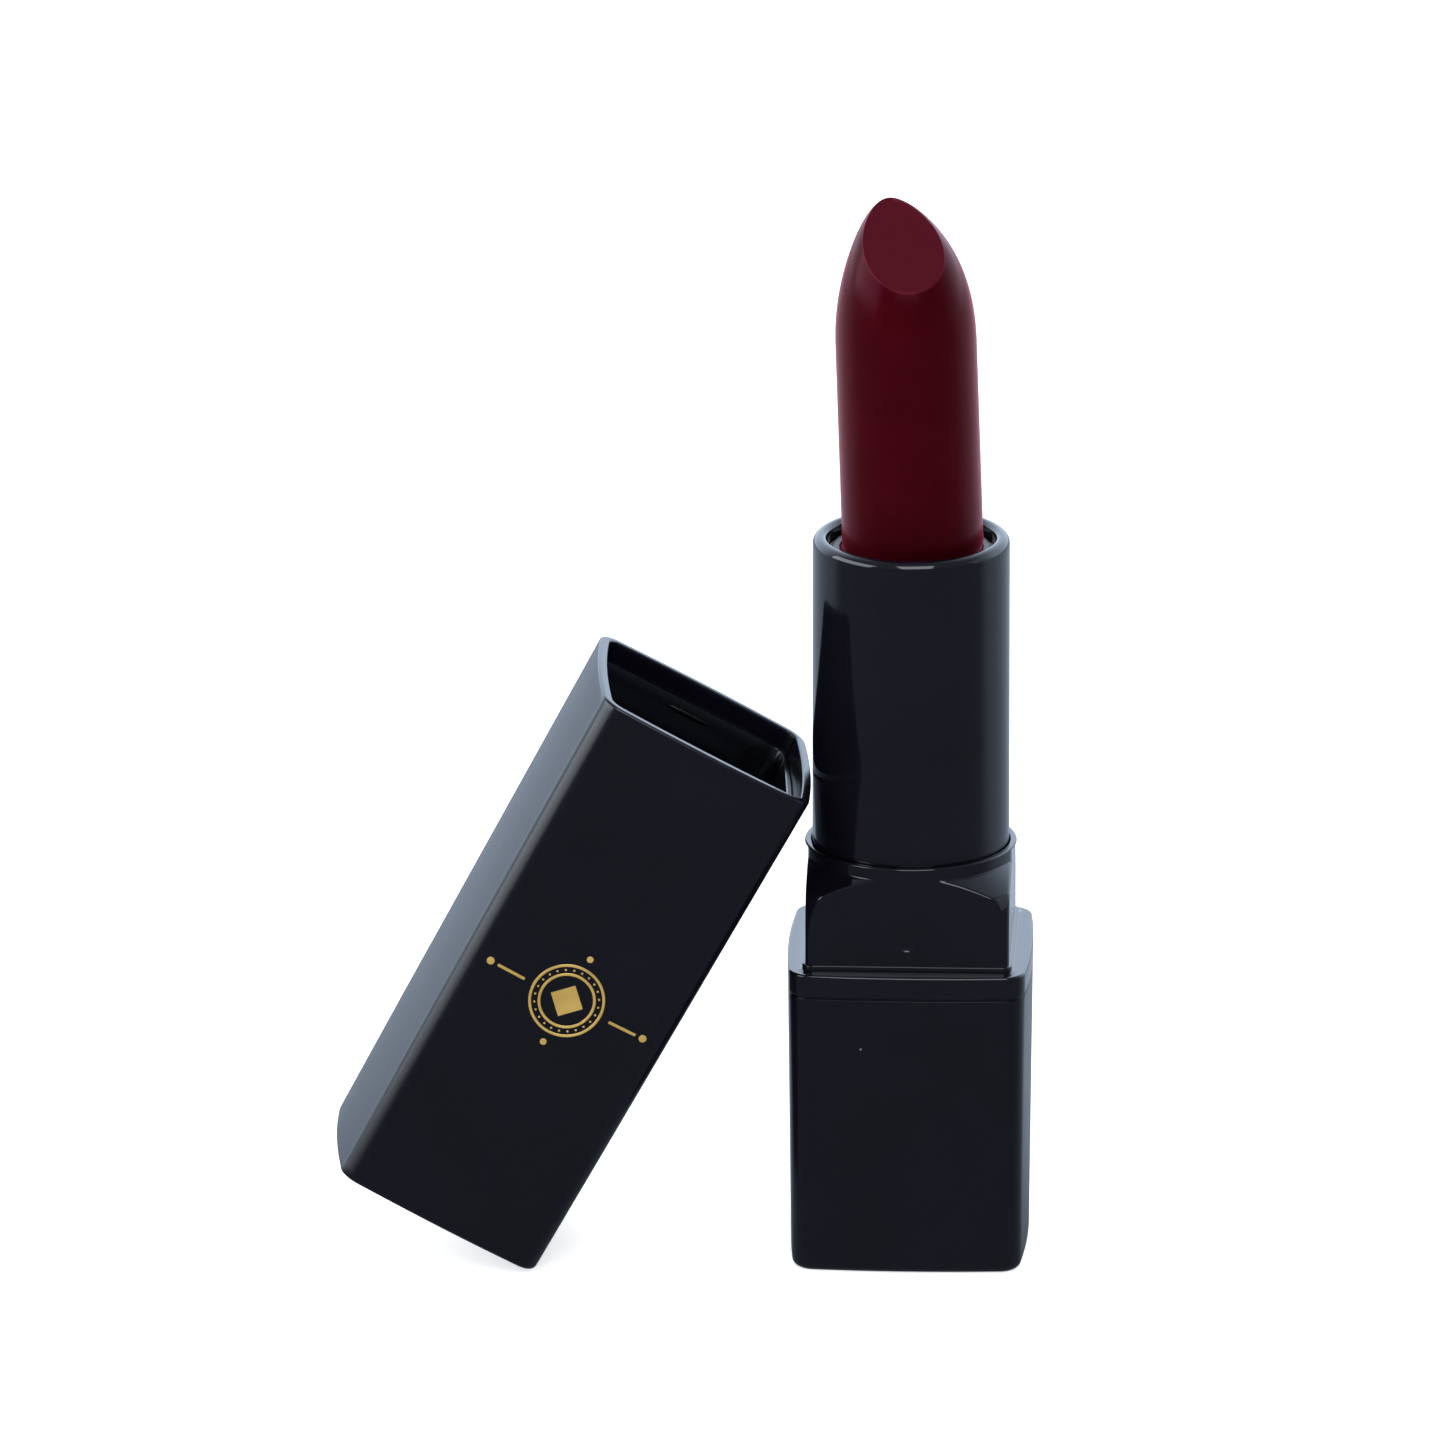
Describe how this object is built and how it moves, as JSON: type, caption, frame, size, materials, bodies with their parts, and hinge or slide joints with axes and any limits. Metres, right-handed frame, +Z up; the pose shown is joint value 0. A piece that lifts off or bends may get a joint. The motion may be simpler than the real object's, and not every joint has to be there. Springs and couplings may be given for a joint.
{
  "type": "lipstick case",
  "caption": "Open square lipstick case: tapered base, round turning sleeve with the lipstick wound out, and its square cap leaning against the sleeve.",
  "frame": {"origin": "middle of the case's flat bottom face, on the surface it stands on", "axes": "+Z up along the lipstick, +X to the right with the cap on the -X side, -Y to the front"},
  "size_m": [0.0599, 0.0235, 0.0927],
  "materials": {
    "satin_black": "satin black lacquer over moulded plastic",
    "gloss_black": "polished black",
    "steel": "plain steel slug",
    "grey_plastic": "moulded, unpolished",
    "white_plastic": "moulded, unpolished",
    "ring_rubber": "soft silicone",
    "lipstick": "semi-gloss wax, dark wine red",
    "gold_foil": "hot-stamped gold foil",
    "label": "plain printed label, no text"
  },
  "bodies": {
    "case": {"base_shell": "satin_black", "shade_label": "label", "base_weight": "steel", "base_core": "grey_plastic", "collar": "gloss_black", "fork": "white_plastic", "friction_rings": "ring_rubber"},
    "turning_sleeve": {"sleeve": "gloss_black", "spiral": "grey_plastic"},
    "carrier": {"cup": "grey_plastic", "bullet": "lipstick"},
    "cap": {"cap_shell": "satin_black", "cap_liner": "gloss_black", "cap_emblem": "gold_foil"}
  },
  "joints": [
    {"name": "sleeve_turn", "type": "hinge", "parent": "case", "child": "turning_sleeve", "pos_m": [0, 0, 0.035], "axis": [0, 0, 1], "range_deg": [0, 622]},
    {"name": "cup_travel", "type": "slide", "parent": "case", "child": "carrier", "axis": [0, 0, 1], "range_m": [-0.031, 0]},
    {"name": "cap_lift", "type": "slide", "parent": "case", "child": "cap", "axis": [0, 0, 1], "range_m": [0, 0.1]}
  ],
  "couplings": [
    {"joint": "sleeve_turn", "follows": "cup_travel", "rad_per_m": -349.07}
  ]
}
